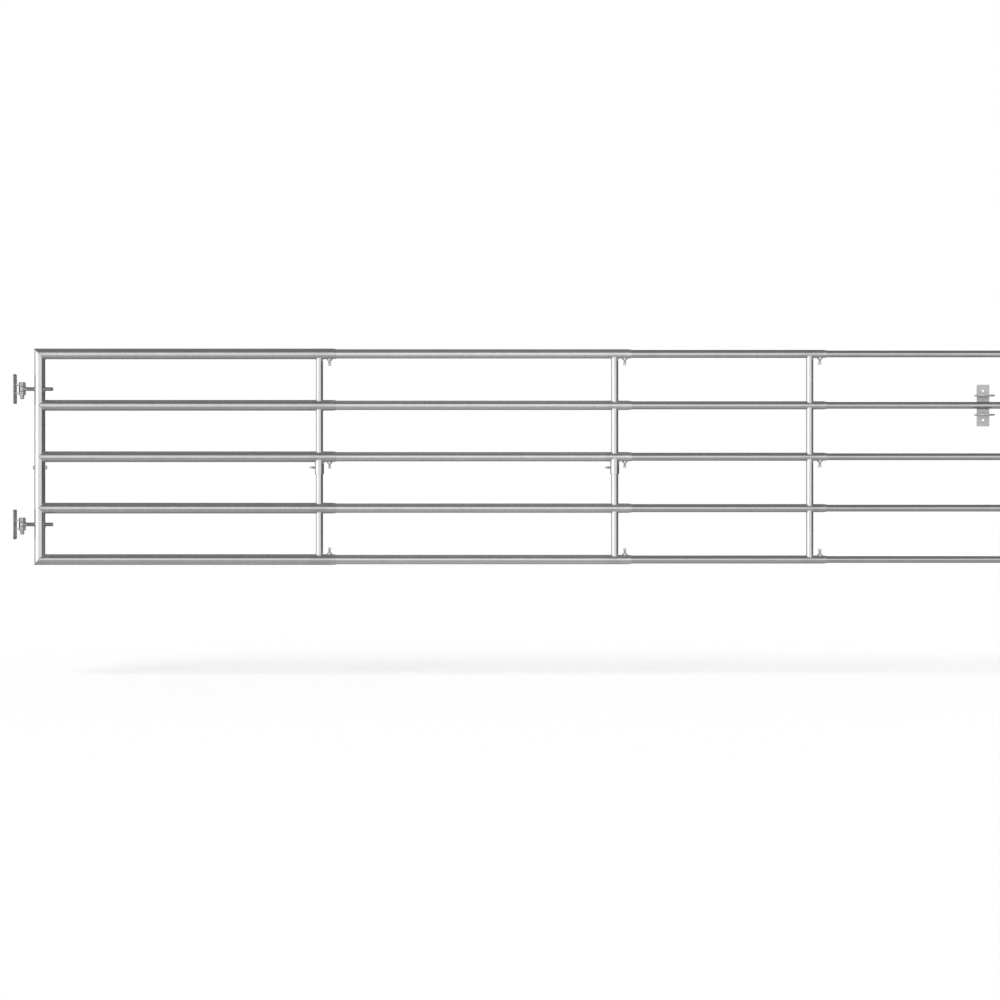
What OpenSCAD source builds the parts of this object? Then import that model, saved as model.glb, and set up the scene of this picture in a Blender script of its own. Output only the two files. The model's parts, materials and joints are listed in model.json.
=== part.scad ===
// Field gate of telescoping round tubes, hung on two eye bolts.
// Origin: middle of the lower hinge plate, on its mounting face.
// X runs along the gate, Y through it, Z up. Millimetres.

/* [Leaf] */
// Height of the leaf, over the top and bottom rails
leaf_h = 900; // [750:5:1200]
// Hinge to the nearest end rail, axis to axis
hinge_inset = 146; // [110:1:170]
// Hinge stile to the first brace, axis to axis
first_len = 1163; // [900:1:1500]
// First brace to the second brace, with the gate drawn out
second_reach = 1228; // [600:1:1400]
// Second brace to the third brace, with the gate drawn out
third_reach = 811; // [500:1:1200]
// Third brace to the end stile, with the gate drawn out
end_reach = 840; // [600:1:1200]

/* [Tubes] */
// Outside diameter of the widest tubes
tube_od = 45; // [40:0.5:60]
// Wall of the rails, stiles and braces
tube_wall = 1.5; // [1.2:0.1:2.5]
// Radial play of a tube in the bore of the next wider one
tube_play = 1.25; // [0.8:0.05:2]
// Outside diameter of the braces
brace_od = 30; // [26:0.5:34]
// Length of rail past the brace, to its open end
overhang = 70; // [65:1:110]
// Length of tube left inside the wider one when drawn out
insert_len = 62; // [50:1:90]
// Length of the drawn-in neck at an open end
neck_len = 15; // [8:1:18]
// Radial clearance of the neck round the inner tube
neck_gap = 0.3; // [0.2:0.05:0.6]
// Wall of the neck at its lip
lip_wall = 0.9; // [0.5:0.1:1.2]
// Root gap at a welded joint
weld_gap = 0.1; // [0.05:0.01:0.3]

/* [Half-frame joint] */
// Length of a coupling sleeve under the middle rail
sleeve_len = 50; // [40:1:70]
// Wall of a coupling sleeve
sleeve_wall = 3.5; // [2:0.1:5]
// Radial play of a brace in its sleeve
sleeve_play = 0.5; // [0.2:0.05:0.8]
// Depth of the joint bolts below the middle rail's underside
joint_drop = 22.5; // [16:0.5:28]
// Length of the stile's spigot on each side of its joint
spigot_len = 42; // [38:1:60]
// Wall of the spigot
spigot_wall = 3; // [2:0.1:4]
// Stand-out of a sleeve bolt from its sleeve
sleeve_bolt_out = 23; // [18:0.5:28]
// Width across flats of a sleeve bolt's square head
sleeve_bolt_af = 8; // [6:0.5:9]
// Height of a sleeve bolt's head
sleeve_head_h = 9; // [6:0.5:12]
// Depth of a sleeve bolt's tip past the brace's outside
sleeve_bolt_in = 5; // [3:0.5:9]
// Thread diameter of the stile bolt
stile_bolt_d = 8; // [6:0.5:10]
// Width across flats of the stile bolt's head and nut
stile_bolt_af = 13; // [12:0.5:17]
// Height of the stile bolt's head
stile_head_h = 5.3; // [3:0.1:7]
// Height of the stile bolt's nut
stile_nut_h = 6.5; // [4:0.1:9]
// Thread of the stile bolt showing past its nut
stile_bolt_past = 2; // [1:0.5:5]

/* [Set bolts] */
// Thread diameter of the set bolts
bolt_d = 10; // [8:0.5:12]
// Width across flats of a set bolt's square head
bolt_head_af = 13; // [11:0.5:16]
// Height of a set bolt's head
bolt_head_h = 9; // [6:0.5:12]
// Width across flats of the weld nuts
nut_af = 17; // [15:0.5:19]
// Height of a weld nut over the tube
nut_h = 6.5; // [4:0.1:8]
// Depth to which a weld nut is cut to saddle the tube
nut_saddle = 3; // [2:0.1:4]
// Stand-out of a set bolt from its tube
bolt_out = 27; // [25:0.5:36]
// Brace axis to the set bolts
bolt_x = 42; // [35:0.5:44]
// Radial clearance of a bolt in its nut
bolt_play = 0.1; // [0.05:0.01:0.15]
// Radial clearance of a bolt in a plain hole
hole_play = 0.5; // [0.2:0.05:1]
// Gap between a set bolt's tip and the inner tube
tip_gap = 0.3; // [0.2:0.05:0.5]

/* [Hinges] */
// Mounting face of the hinge plates to the hinge pins
pin_x = 33; // [30:0.5:45]
// Hinge pins to the stile's axis
eye_reach = 73; // [60:0.5:100]
// Diameter of the hinge pins
pin_d = 16; // [12:0.5:18]
// Radial clearance of a pin in its bores
pin_play = 0.08; // [0.03:0.01:0.1]
// Outside diameter of the eyes and knuckles
eye_od = 28; // [26:0.5:34]
// Height of an eye
eye_h = 20; // [18:0.5:30]
// Clearance over and under an eye
eye_gap = 0.3; // [0.2:0.05:0.6]
// Height of a knuckle
knuckle_h = 15; // [10:0.5:20]
// Diameter of a pin's head
pin_head_d = 24; // [20:0.5:28]
// Height of a pin's head
pin_head_h = 3; // [2:0.5:6]
// Length of pin below the lower knuckle
pin_past = 17; // [10:0.5:25]
// Chamfer at a pin's tip
pin_tip = 3; // [1:0.5:5]
// Diameter of the eye bolts' rods
rod_d = 16; // [12:0.5:17]
// Length of rod past the stile
rod_past = 32; // [20:1:60]
// Chamfer at a rod's end
rod_tip = 1.5; // [0.5:0.5:3]
// Outside diameter of the threaded bushes in the stile
bush_od = 26; // [22:0.5:30]
// Thickness of the lugs
lug_t = 5; // [4:0.5:8]
// Width of the lugs
lug_w = 28; // [24:0.5:34]
// Width of a hinge plate
plate_w = 50; // [40:1:80]
// Height of a hinge plate
plate_h = 123; // [110:1:160]
// Thickness of a hinge plate
plate_t = 5; // [4:0.5:8]
// Spacing of a hinge plate's two holes
plate_hole_gap = 96; // [80:1:100]
// Diameter of the holes in the hinge plates and the keep
plate_hole_d = 11; // [8:0.5:12]

/* [Keep] */
// Middle of the keep to the end stile's axis
keep_inset = 115; // [85:1:150]
// Width of the keep's plate
keep_w = 52; // [45:1:60]
// Height of the keep's plate
keep_h = 173; // [160:1:220]
// Thickness of the keep's plate
keep_t = 5; // [4:0.5:8]
// Gap between the keep's plate and the rail that rests on it
keep_gap = 0.3; // [0.2:0.05:0.6]
// Radius of the keep's lugs
keep_lug_r = 41.5; // [38:0.5:46]
// Centre of the lugs' round, in front of the leaf's plane
keep_lug_y = 10; // [5:0.5:14]
// Thickness of the keep's lugs
keep_lug_t = 5; // [4:0.5:8]
// Spacing of the two lugs, middle to middle
keep_lug_gap = 80; // [70:1:90]
// Spacing of the keep's two screw holes
keep_hole_gap = 122; // [110:1:130]
// Diameter of the lock holes in the lugs
lock_hole_d = 13; // [8:0.5:16]
// Lock holes in front of the leaf's plane
lock_hole_y = 31; // [28:0.5:36]

/* [Hidden] */
$fn = 64;
SECTIONS = ["first", "second", "third", "end"];
CLAMP_NAMES = ["top", "middle", "bottom"];
HINGES = ["lower", "upper"];

// Rails are numbered from the top down, and set bolts clamp every other one
function rows() = [for (r = [1:5]) r];
function clamped_rows() = [for (r = [1:2:5]) r];

RAIL_NODES = [for (s = SECTIONS, r = rows()) str(s, "_rail_", r)];
SET_BOLT_NODES = [for (s = [0:2], c = CLAMP_NAMES) str(SECTIONS[s], "_set_bolt_", c)];
WELD_NUT_NODES = [for (s = [0:2]) str(SECTIONS[s], "_weld_nuts")];
COUPLING_NODES = [for (s = [0:1], n = ["brace_upper", "brace_lower", "sleeve", "sleeve_bolt"])
    str(SECTIONS[s], "_", n)];
HINGE_NODES = [for (h = HINGES, n = ["hinge_plate", "hinge_lugs", "hinge_pin", "eye_bolt"]) str(h, "_", n)];

ZINC = [0.76, 0.78, 0.79];
BOLT_ZINC = [0.66, 0.68, 0.70];

// Tubes: each section's tube fits in the one before it
function od(s) = tube_od - 2 * s * (tube_wall + tube_play);
function bore(s) = od(s) - 2 * tube_wall;

// Heights, from the lower hinge
pitch = (leaf_h - tube_od) / (len(rows()) - 1);
function row_z(r) = -hinge_inset + (len(rows()) - r) * pitch;
mid_z = row_z(3);
hinge_gap = row_z(1) - hinge_inset;
function hinge_z(h) = h == "upper" ? hinge_gap : 0;
joint_z = mid_z - tube_od / 2 - sleeve_len;
joint_bolt_z = mid_z - tube_od / 2 - joint_drop;

// Places along the gate
stile_x = pin_x + eye_reach;
REACHES = [first_len, second_reach, third_reach, end_reach];
function upright_x(s) = s < 0 ? stile_x : upright_x(s - 1) + REACHES[s];
end_x = upright_x(3);
function open_end(s) = upright_x(s) + overhang;
function rail_start(s) = s == 0 ? stile_x : open_end(s - 1) - insert_len;
keep_x = end_x - keep_inset;
keep_z = row_z(2);
keep_face = od(3) / 2 + keep_gap;

// Coupling sleeves, and the underside of a hinge's upper knuckle
sleeve_bore = brace_od + 2 * sleeve_play;
sleeve_od = sleeve_bore + 2 * sleeve_wall;
knuckle_z = eye_h / 2 + eye_gap;

// Set bolts hang under the upper rails and stand on the bottom rail
function bolt_side(r) = r == 5 ? 1 : -1;

// A length of tool that passes clean through any piece, and how far a bore's tool runs past a face
through = leaf_h;
cut_past = 1;

module rod_x(d, x0, x1) {
    translate([x0, 0, 0]) rotate([0, 90, 0]) cylinder(d = d, h = x1 - x0);
}

module rod_z(d, z0, z1) {
    translate([0, 0, z0]) cylinder(d = d, h = z1 - z0);
}

module hex_prism(af, z0, z1) {
    translate([0, 0, z0]) cylinder(d = af / cos(30), h = z1 - z0, $fn = 6);
}

// Everything on the far side of a plane through the Y axis, turned from horizontal
module half_space(turn) {
    rotate([0, turn, 0]) translate([-through, -through, 0]) cube([2 * through, 2 * through, 2 * through]);
}

// The drawn-in open end of a section's tube, about the X axis
module neck(s) {
    lip_bore = od(s + 1) / 2 + neck_gap;
    translate([open_end(s) - neck_len, 0, 0]) rotate([0, 90, 0]) rotate_extrude()
        polygon([[bore(s) / 2, 0], [od(s) / 2, 0], [lip_bore + lip_wall, neck_len], [lip_bore, neck_len]]);
}

// A section's plain tube about the X axis, with its neck where the end is open
module rail_tube(s, x0, x1) {
    difference() {
        rod_x(od(s), x0, x1);
        rod_x(bore(s), x0 - cut_past, x1 + cut_past);
    }
    if (s < 3) neck(s);
}

// One rail: mitred at an outer corner of the leaf, else cut to saddle its stile
module rail(s, r) {
    corner = r == 1 || r == 5;
    corner_room = corner ? od(s) / 2 : 0;
    x0 = s == 0 ? stile_x - corner_room : rail_start(s);
    x1 = s == 3 ? end_x + corner_room : open_end(s) - neck_len;
    color(ZINC) translate([0, 0, row_z(r)]) difference() {
        rail_tube(s, x0, x1);
        if (corner && s == 0) translate([stile_x, 0, 0]) half_space(r == 1 ? 225 : -45);
        if (corner && s == 3) translate([end_x, 0, 0]) half_space(r == 1 ? 135 : 45);
        if (!corner && s == 0) translate([stile_x, 0, 0]) rod_z(od(s) + 2 * weld_gap, -tube_od, tube_od);
        if (!corner && s == 3) translate([end_x, 0, 0]) rod_z(od(s) + 2 * weld_gap, -tube_od, tube_od);
        if (s < 3 && len(search(r, clamped_rows())) > 0) at_set_bolt(s, r)
            rod_z(bolt_d + 2 * hole_play, 0, od(s));
    }
}

// Turns a piece drawn upwards so that it stands out of a rail where its set bolt is
module at_set_bolt(s, r) {
    translate([upright_x(s) + bolt_x, 0, 0]) rotate([bolt_side(r) > 0 ? 0 : 180, 0, 0]) children();
}

// Bolts drawn upwards: shank from the tip to a hexagon or square head, whose face is at the top
module hex_bolt(d, af, head_h, tip, top) {
    rod_z(d, tip, top - head_h);
    hex_prism(af, top - head_h, top);
}

module square_bolt(d, af, head_h, tip, top) {
    rod_z(d, tip, top - head_h);
    translate([-af / 2, -af / 2, top - head_h]) cube([af, af, head_h]);
}

// A hexagon nut drawn upwards from a round tube of the given diameter
module weld_nut(round_d) {
    difference() {
        hex_prism(nut_af, round_d / 2 - nut_saddle, round_d / 2 + nut_h);
        rod_z(bolt_d + 2 * bolt_play, 0, round_d);
        rotate([0, 90, 0]) cylinder(d = round_d + 2 * weld_gap, h = 2 * nut_af, center = true);
    }
}

module set_bolt(s, r) {
    color(BOLT_ZINC) translate([0, 0, row_z(r)]) at_set_bolt(s, r)
        square_bolt(bolt_d, bolt_head_af, bolt_head_h, od(s + 1) / 2 + tip_gap, od(s) / 2 + bolt_out);
}

// Places a piece drawn upwards so that it stands out of a sleeve towards the hinges
module at_sleeve_bolt(s) {
    translate([upright_x(s), 0, joint_bolt_z]) rotate([0, -90, 0]) children();
}

module weld_nuts(s) {
    color(ZINC) for (r = clamped_rows()) translate([0, 0, row_z(r)]) at_set_bolt(s, r) weld_nut(od(s));
}

// A set screw with a small square head, in the sleeve's own thread
module sleeve_bolt(s) {
    color(BOLT_ZINC) at_sleeve_bolt(s)
        square_bolt(bolt_d, sleeve_bolt_af, sleeve_head_h, brace_od / 2 - sleeve_bolt_in,
            sleeve_od / 2 + sleeve_bolt_out);
}

// What a section's rails cut from the pieces that stand between them
module rail_cuts(s, rows) {
    for (r = rows) translate([0, 0, row_z(r)])
        rod_x(od(s) + 2 * weld_gap, upright_x(s) - tube_od, upright_x(s) + tube_od);
}

module brace_tube(s, z0, z1) {
    translate([upright_x(s), 0, 0]) difference() {
        rod_z(brace_od, z0, z1);
        rod_z(brace_od - 2 * tube_wall, z0 - cut_past, z1 + cut_past);
    }
}

// One brace piece, from a rail up to the next
module brace_piece(s, r) {
    difference() {
        brace_tube(s, row_z(r + 1), row_z(r));
        rail_cuts(s, [r, r + 1]);
    }
}

module brace_upper(s) {
    color(ZINC) for (r = [1, 2]) brace_piece(s, r);
}

// The lower half's brace: its top piece ends in the sleeve, under the middle rail
module brace_lower(s) {
    sleeve_top = mid_z - od(s) / 2 - tube_wall;
    color(ZINC) {
        difference() {
            brace_tube(s, row_z(4), sleeve_top);
            rail_cuts(s, [4]);
            at_sleeve_bolt(s) rod_z(bolt_d + 2 * hole_play, 0, brace_od);
        }
        brace_piece(s, 4);
    }
}

module sleeve(s) {
    color(ZINC) difference() {
        translate([upright_x(s), 0, 0]) difference() {
            rod_z(sleeve_od, joint_z, mid_z);
            rod_z(sleeve_bore, joint_z - cut_past, mid_z + cut_past);
        }
        rail_cuts(s, [3]);
        at_sleeve_bolt(s) rod_z(bolt_d + 2 * bolt_play, 0, sleeve_od);
    }
}

module third_brace() {
    color(ZINC) for (r = [1:4]) brace_piece(2, r);
}

module stile_tube(s, x, z0, z1) {
    translate([x, 0, 0]) difference() {
        rod_z(od(s), z0, z1);
        rod_z(bore(s), z0 - cut_past, z1 + cut_past);
    }
}

// Cross hole through the hinge stile, along the gate
module stile_cross_hole(d, z) {
    translate([0, 0, z]) rod_x(d, stile_x - tube_od, stile_x + tube_od);
}

module hinge_stile_upper() {
    color(ZINC) difference() {
        stile_tube(0, stile_x, joint_z, row_z(1) + tube_od / 2);
        translate([stile_x, 0, row_z(1)]) half_space(45);
        stile_cross_hole(bush_od + 2 * weld_gap, hinge_gap);
        stile_cross_hole(stile_bolt_d + 2 * hole_play, joint_bolt_z);
    }
}

module hinge_stile_lower() {
    color(ZINC) difference() {
        stile_tube(0, stile_x, row_z(5) - tube_od / 2, joint_z);
        translate([stile_x, 0, row_z(5)]) half_space(135);
        stile_cross_hole(bush_od + 2 * weld_gap, 0);
    }
}

module end_stile() {
    color(ZINC) difference() {
        stile_tube(3, end_x, row_z(5) - od(3) / 2, row_z(1) + od(3) / 2);
        translate([end_x, 0, row_z(1)]) half_space(-45);
        translate([end_x, 0, row_z(5)]) half_space(225);
    }
}

module stile_spigot() {
    spigot_od = bore(0) - 2 * weld_gap;
    z0 = joint_z - spigot_len;
    z1 = joint_z + spigot_len;
    color(ZINC) difference() {
        translate([stile_x, 0, 0]) difference() {
            rod_z(spigot_od, z0, z1);
            rod_z(spigot_od - 2 * spigot_wall, z0 - cut_past, z1 + cut_past);
        }
        stile_cross_hole(stile_bolt_d + 2 * hole_play, joint_bolt_z);
    }
}

// The stile bolt's head is on the hinge side, its nut on the other
module stile_bolt() {
    color(BOLT_ZINC) translate([stile_x, 0, joint_bolt_z]) rotate([0, -90, 0])
        hex_bolt(stile_bolt_d, stile_bolt_af, stile_head_h,
            -tube_od / 2 - stile_nut_h - stile_bolt_past, tube_od / 2 + stile_head_h);
}

module stile_nut() {
    color(BOLT_ZINC) translate([stile_x, 0, joint_bolt_z]) rotate([0, 90, 0]) difference() {
        hex_prism(stile_bolt_af, tube_od / 2, tube_od / 2 + stile_nut_h);
        rod_z(stile_bolt_d + 2 * bolt_play, 0, tube_od);
    }
}

// Threaded bushes, trimmed flush with the stile
module hinge_bushes() {
    color(ZINC) for (h = HINGES) translate([0, 0, hinge_z(h)]) difference() {
        intersection() {
            rod_x(bush_od, stile_x - tube_od, stile_x + tube_od);
            translate([stile_x, 0, 0]) rod_z(tube_od, -tube_od, tube_od);
        }
        rod_x(rod_d + 2 * bolt_play, stile_x - tube_od, stile_x + tube_od);
    }
}

module eye_bolt(h) {
    rod_end = stile_x + tube_od / 2 + rod_past;
    eye_wall = (eye_od - pin_d) / 2;
    color(BOLT_ZINC) translate([0, 0, hinge_z(h)]) difference() {
        union() {
            translate([pin_x, 0, 0]) rod_z(eye_od, -eye_h / 2, eye_h / 2);
            rod_x(rod_d, pin_x + eye_od / 2 - eye_wall / 2, rod_end - rod_tip);
            translate([rod_end - rod_tip, 0, 0]) rotate([0, 90, 0])
                cylinder(d1 = rod_d, d2 = rod_d - 2 * rod_tip, h = rod_tip);
        }
        translate([pin_x, 0, 0]) rod_z(pin_d + 2 * pin_play, -eye_h, eye_h);
    }
}

module hinge_plate(h) {
    color(ZINC) translate([0, 0, hinge_z(h)]) difference() {
        translate([0, -plate_w / 2, -plate_h / 2]) cube([plate_t, plate_w, plate_h]);
        for (side = [-1, 1]) translate([0, 0, side * plate_hole_gap / 2])
            rod_x(plate_hole_d, -cut_past, plate_t + cut_past);
    }
}

// A lug with its knuckle, over and under the eye
module hinge_lugs(h) {
    color(ZINC) translate([0, 0, hinge_z(h)]) for (side = [0, 1]) mirror([0, 0, side]) difference() {
        union() {
            translate([plate_t, -lug_w / 2, knuckle_z + (knuckle_h - lug_t) / 2])
                cube([pin_x - plate_t, lug_w, lug_t]);
            translate([pin_x, 0, 0]) rod_z(eye_od, knuckle_z, knuckle_z + knuckle_h);
        }
        translate([pin_x, 0, 0]) rod_z(pin_d + 2 * pin_play, 0, through);
    }
}

module hinge_pin(h) {
    top = knuckle_z + knuckle_h;
    color(BOLT_ZINC) translate([pin_x, 0, hinge_z(h)]) {
        rod_z(pin_d, pin_tip - top - pin_past, top);
        translate([0, 0, -top - pin_past]) cylinder(d1 = pin_d - 2 * pin_tip, d2 = pin_d, h = pin_tip);
        rod_z(pin_head_d, top, top + pin_head_h);
    }
}

module keep_plate() {
    color(ZINC) translate([keep_x, keep_face, keep_z]) difference() {
        translate([-keep_w / 2, 0, -keep_h / 2]) cube([keep_w, keep_t, keep_h]);
        for (side = [-1, 1]) translate([0, -cut_past, side * keep_hole_gap / 2]) rotate([-90, 0, 0])
            cylinder(d = plate_hole_d, h = keep_t + 2 * cut_past);
    }
}

// Rounded lugs above and below the rail, with their flat ends on the keep's plate
module keep_lugs() {
    color(ZINC) translate([keep_x, 0, keep_z]) for (side = [-1, 1])
        translate([0, 0, side * keep_lug_gap / 2 - keep_lug_t / 2]) linear_extrude(keep_lug_t) difference() {
            translate([0, -keep_lug_y]) circle(r = keep_lug_r);
            translate([-2 * keep_lug_r, keep_face]) square(4 * keep_lug_r);
            translate([0, -lock_hole_y]) circle(d = lock_hole_d);
        }
}

for (s = [0:3], r = rows())
    rail(s, r);
for (s = [0:2], i = [0:2])
    set_bolt(s, clamped_rows()[i]);
for (s = [0:2])
    weld_nuts(s);
for (s = [0:1]) {
    brace_upper(s);
    brace_lower(s);
    sleeve(s);
    sleeve_bolt(s);
}
for (h = HINGES) {
    hinge_plate(h);
    hinge_lugs(h);
    hinge_pin(h);
    eye_bolt(h);
}
third_brace();
end_stile();
hinge_stile_upper();
hinge_stile_lower();
stile_spigot();
stile_bolt();
stile_nut();
hinge_bushes();
keep_plate();
keep_lugs();
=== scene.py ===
# %% [markdown]
# # A telescoping field gate
# The gate is four sets of round steel tubes that slide into each other, hung on two eye bolts and dipped in
# zinc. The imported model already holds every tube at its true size, so this script adds what a solid model
# leaves out: the zinc, the weld beads, the screw threads, the eased edges, and the light.

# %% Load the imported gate
import json
import math
import bmesh
import bpy
import numpy as np
from mathutils import Matrix, Vector


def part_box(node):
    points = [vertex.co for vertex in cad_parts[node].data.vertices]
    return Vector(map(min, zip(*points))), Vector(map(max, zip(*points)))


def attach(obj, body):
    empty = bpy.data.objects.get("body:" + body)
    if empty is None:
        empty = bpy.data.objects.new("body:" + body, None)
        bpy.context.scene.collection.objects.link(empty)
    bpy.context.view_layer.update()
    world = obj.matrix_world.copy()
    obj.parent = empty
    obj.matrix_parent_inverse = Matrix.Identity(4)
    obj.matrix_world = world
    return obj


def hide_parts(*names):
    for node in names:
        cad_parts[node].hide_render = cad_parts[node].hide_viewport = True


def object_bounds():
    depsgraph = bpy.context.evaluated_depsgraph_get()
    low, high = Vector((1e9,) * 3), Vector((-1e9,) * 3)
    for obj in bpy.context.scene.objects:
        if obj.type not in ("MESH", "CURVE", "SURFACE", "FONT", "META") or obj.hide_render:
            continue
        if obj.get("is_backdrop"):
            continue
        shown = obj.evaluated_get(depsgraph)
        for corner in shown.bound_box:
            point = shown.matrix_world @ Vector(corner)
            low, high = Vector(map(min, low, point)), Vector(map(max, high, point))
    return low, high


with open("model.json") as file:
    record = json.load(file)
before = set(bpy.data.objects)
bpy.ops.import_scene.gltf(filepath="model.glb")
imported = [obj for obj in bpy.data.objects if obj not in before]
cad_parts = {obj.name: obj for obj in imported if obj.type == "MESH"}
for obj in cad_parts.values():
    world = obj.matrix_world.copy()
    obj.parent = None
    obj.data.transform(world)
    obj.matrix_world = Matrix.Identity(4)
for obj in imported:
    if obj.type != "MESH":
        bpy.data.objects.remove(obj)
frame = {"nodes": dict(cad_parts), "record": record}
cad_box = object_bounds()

nodes, record = frame["nodes"], frame["record"]
body_of_node = {n: body for body, members in record["behaviour"]["bodies"].items() for n in members}

# %% [markdown]
# ## Sizes
# A box round a node tells where that piece lies, so the places below are read from the model instead of
# being typed again. Sizes that a box can't show, such as the bore of a nut, are written where they are
# first needed.

# %% Read the gate's places
MM = 0.001
SECTIONS = ("first", "second", "third", "end")
CLAMPED = SECTIONS[:3]
SLEEVED = SECTIONS[:2]
HINGES = ("lower", "upper")
CLAMPS = {"top": 1, "middle": 3, "bottom": 5}
ROWS = range(1, 6)


def middle(node):
    low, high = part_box(node)
    return (Vector(low) + Vector(high)) / 2


def extent(node):
    low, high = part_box(node)
    return Vector(high) - Vector(low)


row_z = {r: middle(f"first_rail_{r}").z for r in ROWS}
tube_r = {s: extent(f"{s}_rail_3").z / 2 for s in SECTIONS}
stile_x = middle("hinge_stile_upper").x
end_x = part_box("end_stile")[1][0] - tube_r["end"]
brace_x = {s: middle(f"{s}_brace_upper").x for s in SLEEVED}
brace_x["third"] = middle("third_brace").x
brace_r = extent("third_brace").x / 2
sleeve_r = extent("first_sleeve").x / 2
eye_z = {side: middle(f"{side}_eye_bolt").z for side in HINGES}
print("tubes", [round(2 * r / MM, 1) for r in tube_r.values()], "mm; braces at", brace_x)

# %% [markdown]
# ## Camera
# The photograph looks straight at the gate, so every upright stays upright and the rails stay level. A lens
# of about 70 mm from 8 m gives that flat view. The far stile falls just past the right edge of the picture.

# %% Place the camera
CAMERA_AT = (2.020, -8.1, 0.1015)
FIELD_OF_VIEW = 28.8
SEES_TO = 200
scene = bpy.context.scene
camera = bpy.data.objects.new("camera", bpy.data.cameras.new("camera"))
scene.collection.objects.link(camera)
camera.location = CAMERA_AT
camera.rotation_euler = (math.radians(90), 0, 0)
camera.data.angle = math.radians(FIELD_OF_VIEW)
camera.data.clip_end = SEES_TO
scene.camera = camera
scene.view_settings.view_transform = "Standard"
print("camera", CAMERA_AT, "lens", round(camera.data.lens, 1), "mm")

# %% [markdown]
# ## A small language for node trees
# Shader and geometry trees are sums done by nodes. Written out one node at a time they are hard to read, so
# one class wraps a socket and lets Python's own operators add the Math nodes. Its `node` method adds any
# other node.

# %% The Wire class
MATHS = {"add": "ADD", "sub": "SUBTRACT", "mul": "MULTIPLY", "truediv": "DIVIDE", "mod": "MODULO"}


class Wire:
    """A socket in a node tree. Arithmetic on wires adds Math nodes; without a socket it only adds nodes."""

    def __init__(self, tree, socket=None):
        self.tree, self.socket = tree, socket

    def node(self, kind, settings=None, sockets=None, out=0):
        made = self.tree.nodes.new(kind)
        for name, value in (settings or {}).items():
            setattr(made, name, value)
        for name, value in (sockets or {}).items():
            if isinstance(value, Wire):
                self.tree.links.new(value.socket, made.inputs[name])
            else:
                made.inputs[name].default_value = value
        return Wire(self.tree, made.outputs[out] if made.outputs else None)

    def sum_of(self, operation, *values):
        return self.node("ShaderNodeMath", {"operation": operation}, dict(enumerate(values)))

    def math(self, operation, *others):
        """A Math node that takes this wire first."""
        return self.sum_of(operation, self, *others)

    def low(self, other):
        return self.math("MINIMUM", other)

    def high(self, other):
        return self.math("MAXIMUM", other)

    def step(self, start, end):
        """0 before start, 1 after end, smooth between; start may be the larger."""
        return self.node("ShaderNodeMapRange", {"interpolation_type": "SMOOTHSTEP"},
                         {"Value": self, "From Min": start, "From Max": end})

    def parts(self, count=3):
        """The first parts of this wire's vector."""
        return [self.node("ShaderNodeSeparateXYZ", None, {0: self}, out=i) for i in range(count)]

    def mix(self, one, two):
        """Blends two colours by this wire."""
        return self.node("ShaderNodeMix", {"data_type": "RGBA"}, {0: self, 6: one, 7: two}, out=2)


for word, operation in MATHS.items():
    setattr(Wire, f"__{word}__", lambda a, b, op=operation: a.sum_of(op, a, b))
    setattr(Wire, f"__r{word}__", lambda a, b, op=operation: a.sum_of(op, b, a))
print("wires know", ", ".join(MATHS))

# %% [markdown]
# ## Light
# Polished metal has no colour of its own: it shows the room. In the photograph the room is white around the
# horizon, brightest on the left, and darker overhead and on the right, which draws the dark line along the
# top of each rail and down the right of each upright. A greyer wall behind on the left draws the thin line
# down their left edges. Straight behind the room is white again, and overhead it is lighter to the sides,
# so that the gate's other faces are as clear. A panorama of a studio could be the world, but a few smooth
# steps in the ray's direction are easier to tune. The camera itself sees plain white, and a soft sun with
# an even sky lights the floor.

# %% The room
SKY_LEVEL = 0.5
ROOM = {"front": 0.98, "left": 1.6, "back_left": 0.55, "right": 0.13, "above": 0.23, "above_aside": 0.55}
EDGES = {
    "left": (-0.30, -0.54), "back": (0.90, 1.06), "left_of_back": (-0.10, -0.22), "right": (0.06, 0.24),
    "right_of_back": (0.08, 0.20), "horizon": (0.50, 0.30), "aside": (0.32, 0.55), "above": (0.32, 0.50)}
RAYS = ("Is Camera Ray", "Is Glossy Ray", "Is Transmission Ray")


def rays(ink):
    """Wires that are 1 on a ray from the camera, on a mirrored ray, and on a ray through glass."""
    return [ink.node("ShaderNodeLightPath", out=name) for name in RAYS]


world = bpy.data.worlds.new("studio")
scene.world = world
world.use_nodes = True
world.node_tree.nodes.clear()
room = Wire(world.node_tree)
x, y, z = room.node("ShaderNodeTexCoord", out=0).parts()
near_horizon = z.math("ABSOLUTE").step(*EDGES["horizon"])
aside = x.math("ABSOLUTE").step(*EDGES["aside"])
on_left = x.step(*EDGES["left"])
on_back_left = (y - x).step(*EDGES["back"]) * x.step(*EDGES["left_of_back"])
on_right = (x + y).step(*EDGES["right"]) * x.step(*EDGES["right_of_back"]) * near_horizon
level = ROOM["front"] + on_left * (ROOM["left"] - ROOM["front"])
level = level + on_back_left * (ROOM["back_left"] - level)
level = level + on_right * (ROOM["right"] - level)
overhead = ROOM["above"] + aside * (ROOM["above_aside"] - ROOM["above"])
level = level + z.step(*EDGES["above"]) * (overhead - level)
to_camera, to_gloss, to_glass = rays(room)
level = SKY_LEVEL + to_gloss * (level - SKY_LEVEL)
level = level + to_camera.high(to_glass) * (1 - level)
background = room.node("ShaderNodeBackground", None, {"Color": level, "Strength": 1.0})
room.node("ShaderNodeOutputWorld", None, {"Surface": background})
print("room", ROOM, "sky", SKY_LEVEL)

# %% The sun
SUN_ENERGY = 1.4
SUN_SPREAD = 24
SUN_TURN = (38, -22, 0)

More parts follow.
